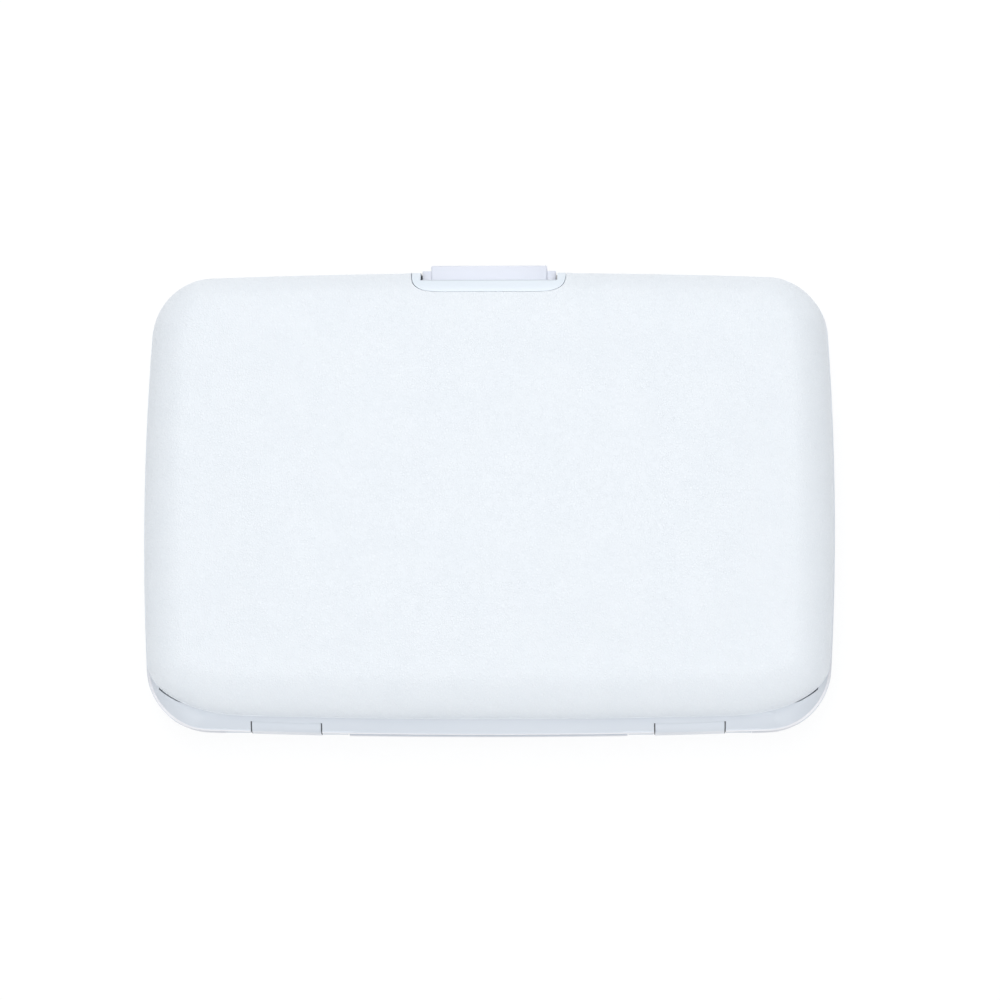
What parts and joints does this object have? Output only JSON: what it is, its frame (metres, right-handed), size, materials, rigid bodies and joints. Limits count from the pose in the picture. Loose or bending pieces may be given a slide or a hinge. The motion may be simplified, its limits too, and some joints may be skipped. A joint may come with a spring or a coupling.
{
  "type": "business card holder",
  "caption": "Hard wallet-style card case: two domed shells on moulded frames, hinged along one long side, with a spring push button and a fan of pleated card pockets",
  "frame": {"origin": "middle of the outline with the button's tab, at the height of the rear shell's flat back, on which the closed case lies", "axes": "+X along the hinge, +Y from the hinge to the push button, +Z from the rear shell to the front shell"},
  "size_m": [0.11, 0.0753, 0.02],
  "materials": {
    "front_shell": "satin white with a fine leather-like grain",
    "rear_shell": "satin white with a fine leather-like grain",
    "front_frame": "smooth pale blue-white moulding",
    "rear_frame": "smooth pale blue-white moulding",
    "latch_button": "smooth pale lavender-white moulding",
    "hinge_pin_left": "drawn steel wire",
    "hinge_pin_right": "drawn steel wire",
    "latch_spring_left": "drawn spring wire",
    "latch_spring_right": "drawn spring wire",
    "front_lining": "matt sheet, cemented in the shell",
    "rear_lining": "matt sheet, cemented in the shell",
    "divider_1": "satin sheet",
    "divider_2": "satin sheet",
    "divider_3": "satin sheet",
    "divider_4": "satin sheet",
    "divider_5": "satin sheet",
    "pocket_film_1": "soft satin film, folded in a pleat",
    "pocket_film_2": "soft satin film, folded in a pleat",
    "pocket_film_3": "soft satin film, folded in a pleat",
    "pocket_film_4": "soft satin film, folded in a pleat",
    "pocket_film_5": "soft satin film, folded in a pleat",
    "pocket_film_6": "soft satin film, folded in a pleat"
  },
  "bodies": {
    "rear_half": {"rear_shell": "rear_shell", "rear_frame": "rear_frame", "hinge_pin_left": "hinge_pin_left", "hinge_pin_right": "hinge_pin_right", "rear_lining": "rear_lining", "pocket_film_1": "pocket_film_1", "pocket_film_2": "pocket_film_2", "pocket_film_3": "pocket_film_3", "pocket_film_4": "pocket_film_4", "pocket_film_5": "pocket_film_5", "pocket_film_6": "pocket_film_6"},
    "front_half": {"front_shell": "front_shell", "front_frame": "front_frame", "front_lining": "front_lining", "latch_spring_left": "latch_spring_left", "latch_spring_right": "latch_spring_right"},
    "push_button": {"latch_button": "latch_button"},
    "leaf_1": {"divider_1": "divider_1"},
    "leaf_2": {"divider_2": "divider_2"},
    "leaf_3": {"divider_3": "divider_3"},
    "leaf_4": {"divider_4": "divider_4"},
    "leaf_5": {"divider_5": "divider_5"}
  },
  "joints": [
    {"name": "lid_hinge", "type": "hinge", "parent": "rear_half", "child": "front_half", "pos_m": [0, -0.03524, 0.01], "axis": [1, 0, 0], "range_deg": [0, 55], "deforming": ["pocket_film_1", "pocket_film_2", "pocket_film_3", "pocket_film_4", "pocket_film_5", "pocket_film_6"]},
    {"name": "button_slide", "type": "slide", "parent": "front_half", "child": "push_button", "axis": [0, -1, 0], "range_m": [0, 0.0012], "stiffness_N_per_m": 600, "springref_m": -0.001, "deforming": ["latch_spring_left", "latch_spring_right"]},
    {"name": "divider_1_hinge", "type": "hinge", "parent": "rear_half", "child": "leaf_1", "pos_m": [0, -0.03524, 0.01], "axis": [1, 0, 0], "range_deg": [0, 9.17]},
    {"name": "divider_2_hinge", "type": "hinge", "parent": "rear_half", "child": "leaf_2", "pos_m": [0, -0.03524, 0.01], "axis": [1, 0, 0], "range_deg": [0, 18.34]},
    {"name": "divider_3_hinge", "type": "hinge", "parent": "rear_half", "child": "leaf_3", "pos_m": [0, -0.03524, 0.01], "axis": [1, 0, 0], "range_deg": [0, 27.5]},
    {"name": "divider_4_hinge", "type": "hinge", "parent": "rear_half", "child": "leaf_4", "pos_m": [0, -0.03524, 0.01], "axis": [1, 0, 0], "range_deg": [0, 36.67]},
    {"name": "divider_5_hinge", "type": "hinge", "parent": "rear_half", "child": "leaf_5", "pos_m": [0, -0.03524, 0.01], "axis": [1, 0, 0], "range_deg": [0, 45.84]}
  ],
  "couplings": [
    {"joint": "divider_1_hinge", "follows": "lid_hinge", "ratio": 0.16667},
    {"joint": "divider_2_hinge", "follows": "lid_hinge", "ratio": 0.33333},
    {"joint": "divider_3_hinge", "follows": "lid_hinge", "ratio": 0.5},
    {"joint": "divider_4_hinge", "follows": "lid_hinge", "ratio": 0.66667},
    {"joint": "divider_5_hinge", "follows": "lid_hinge", "ratio": 0.83333}
  ]
}
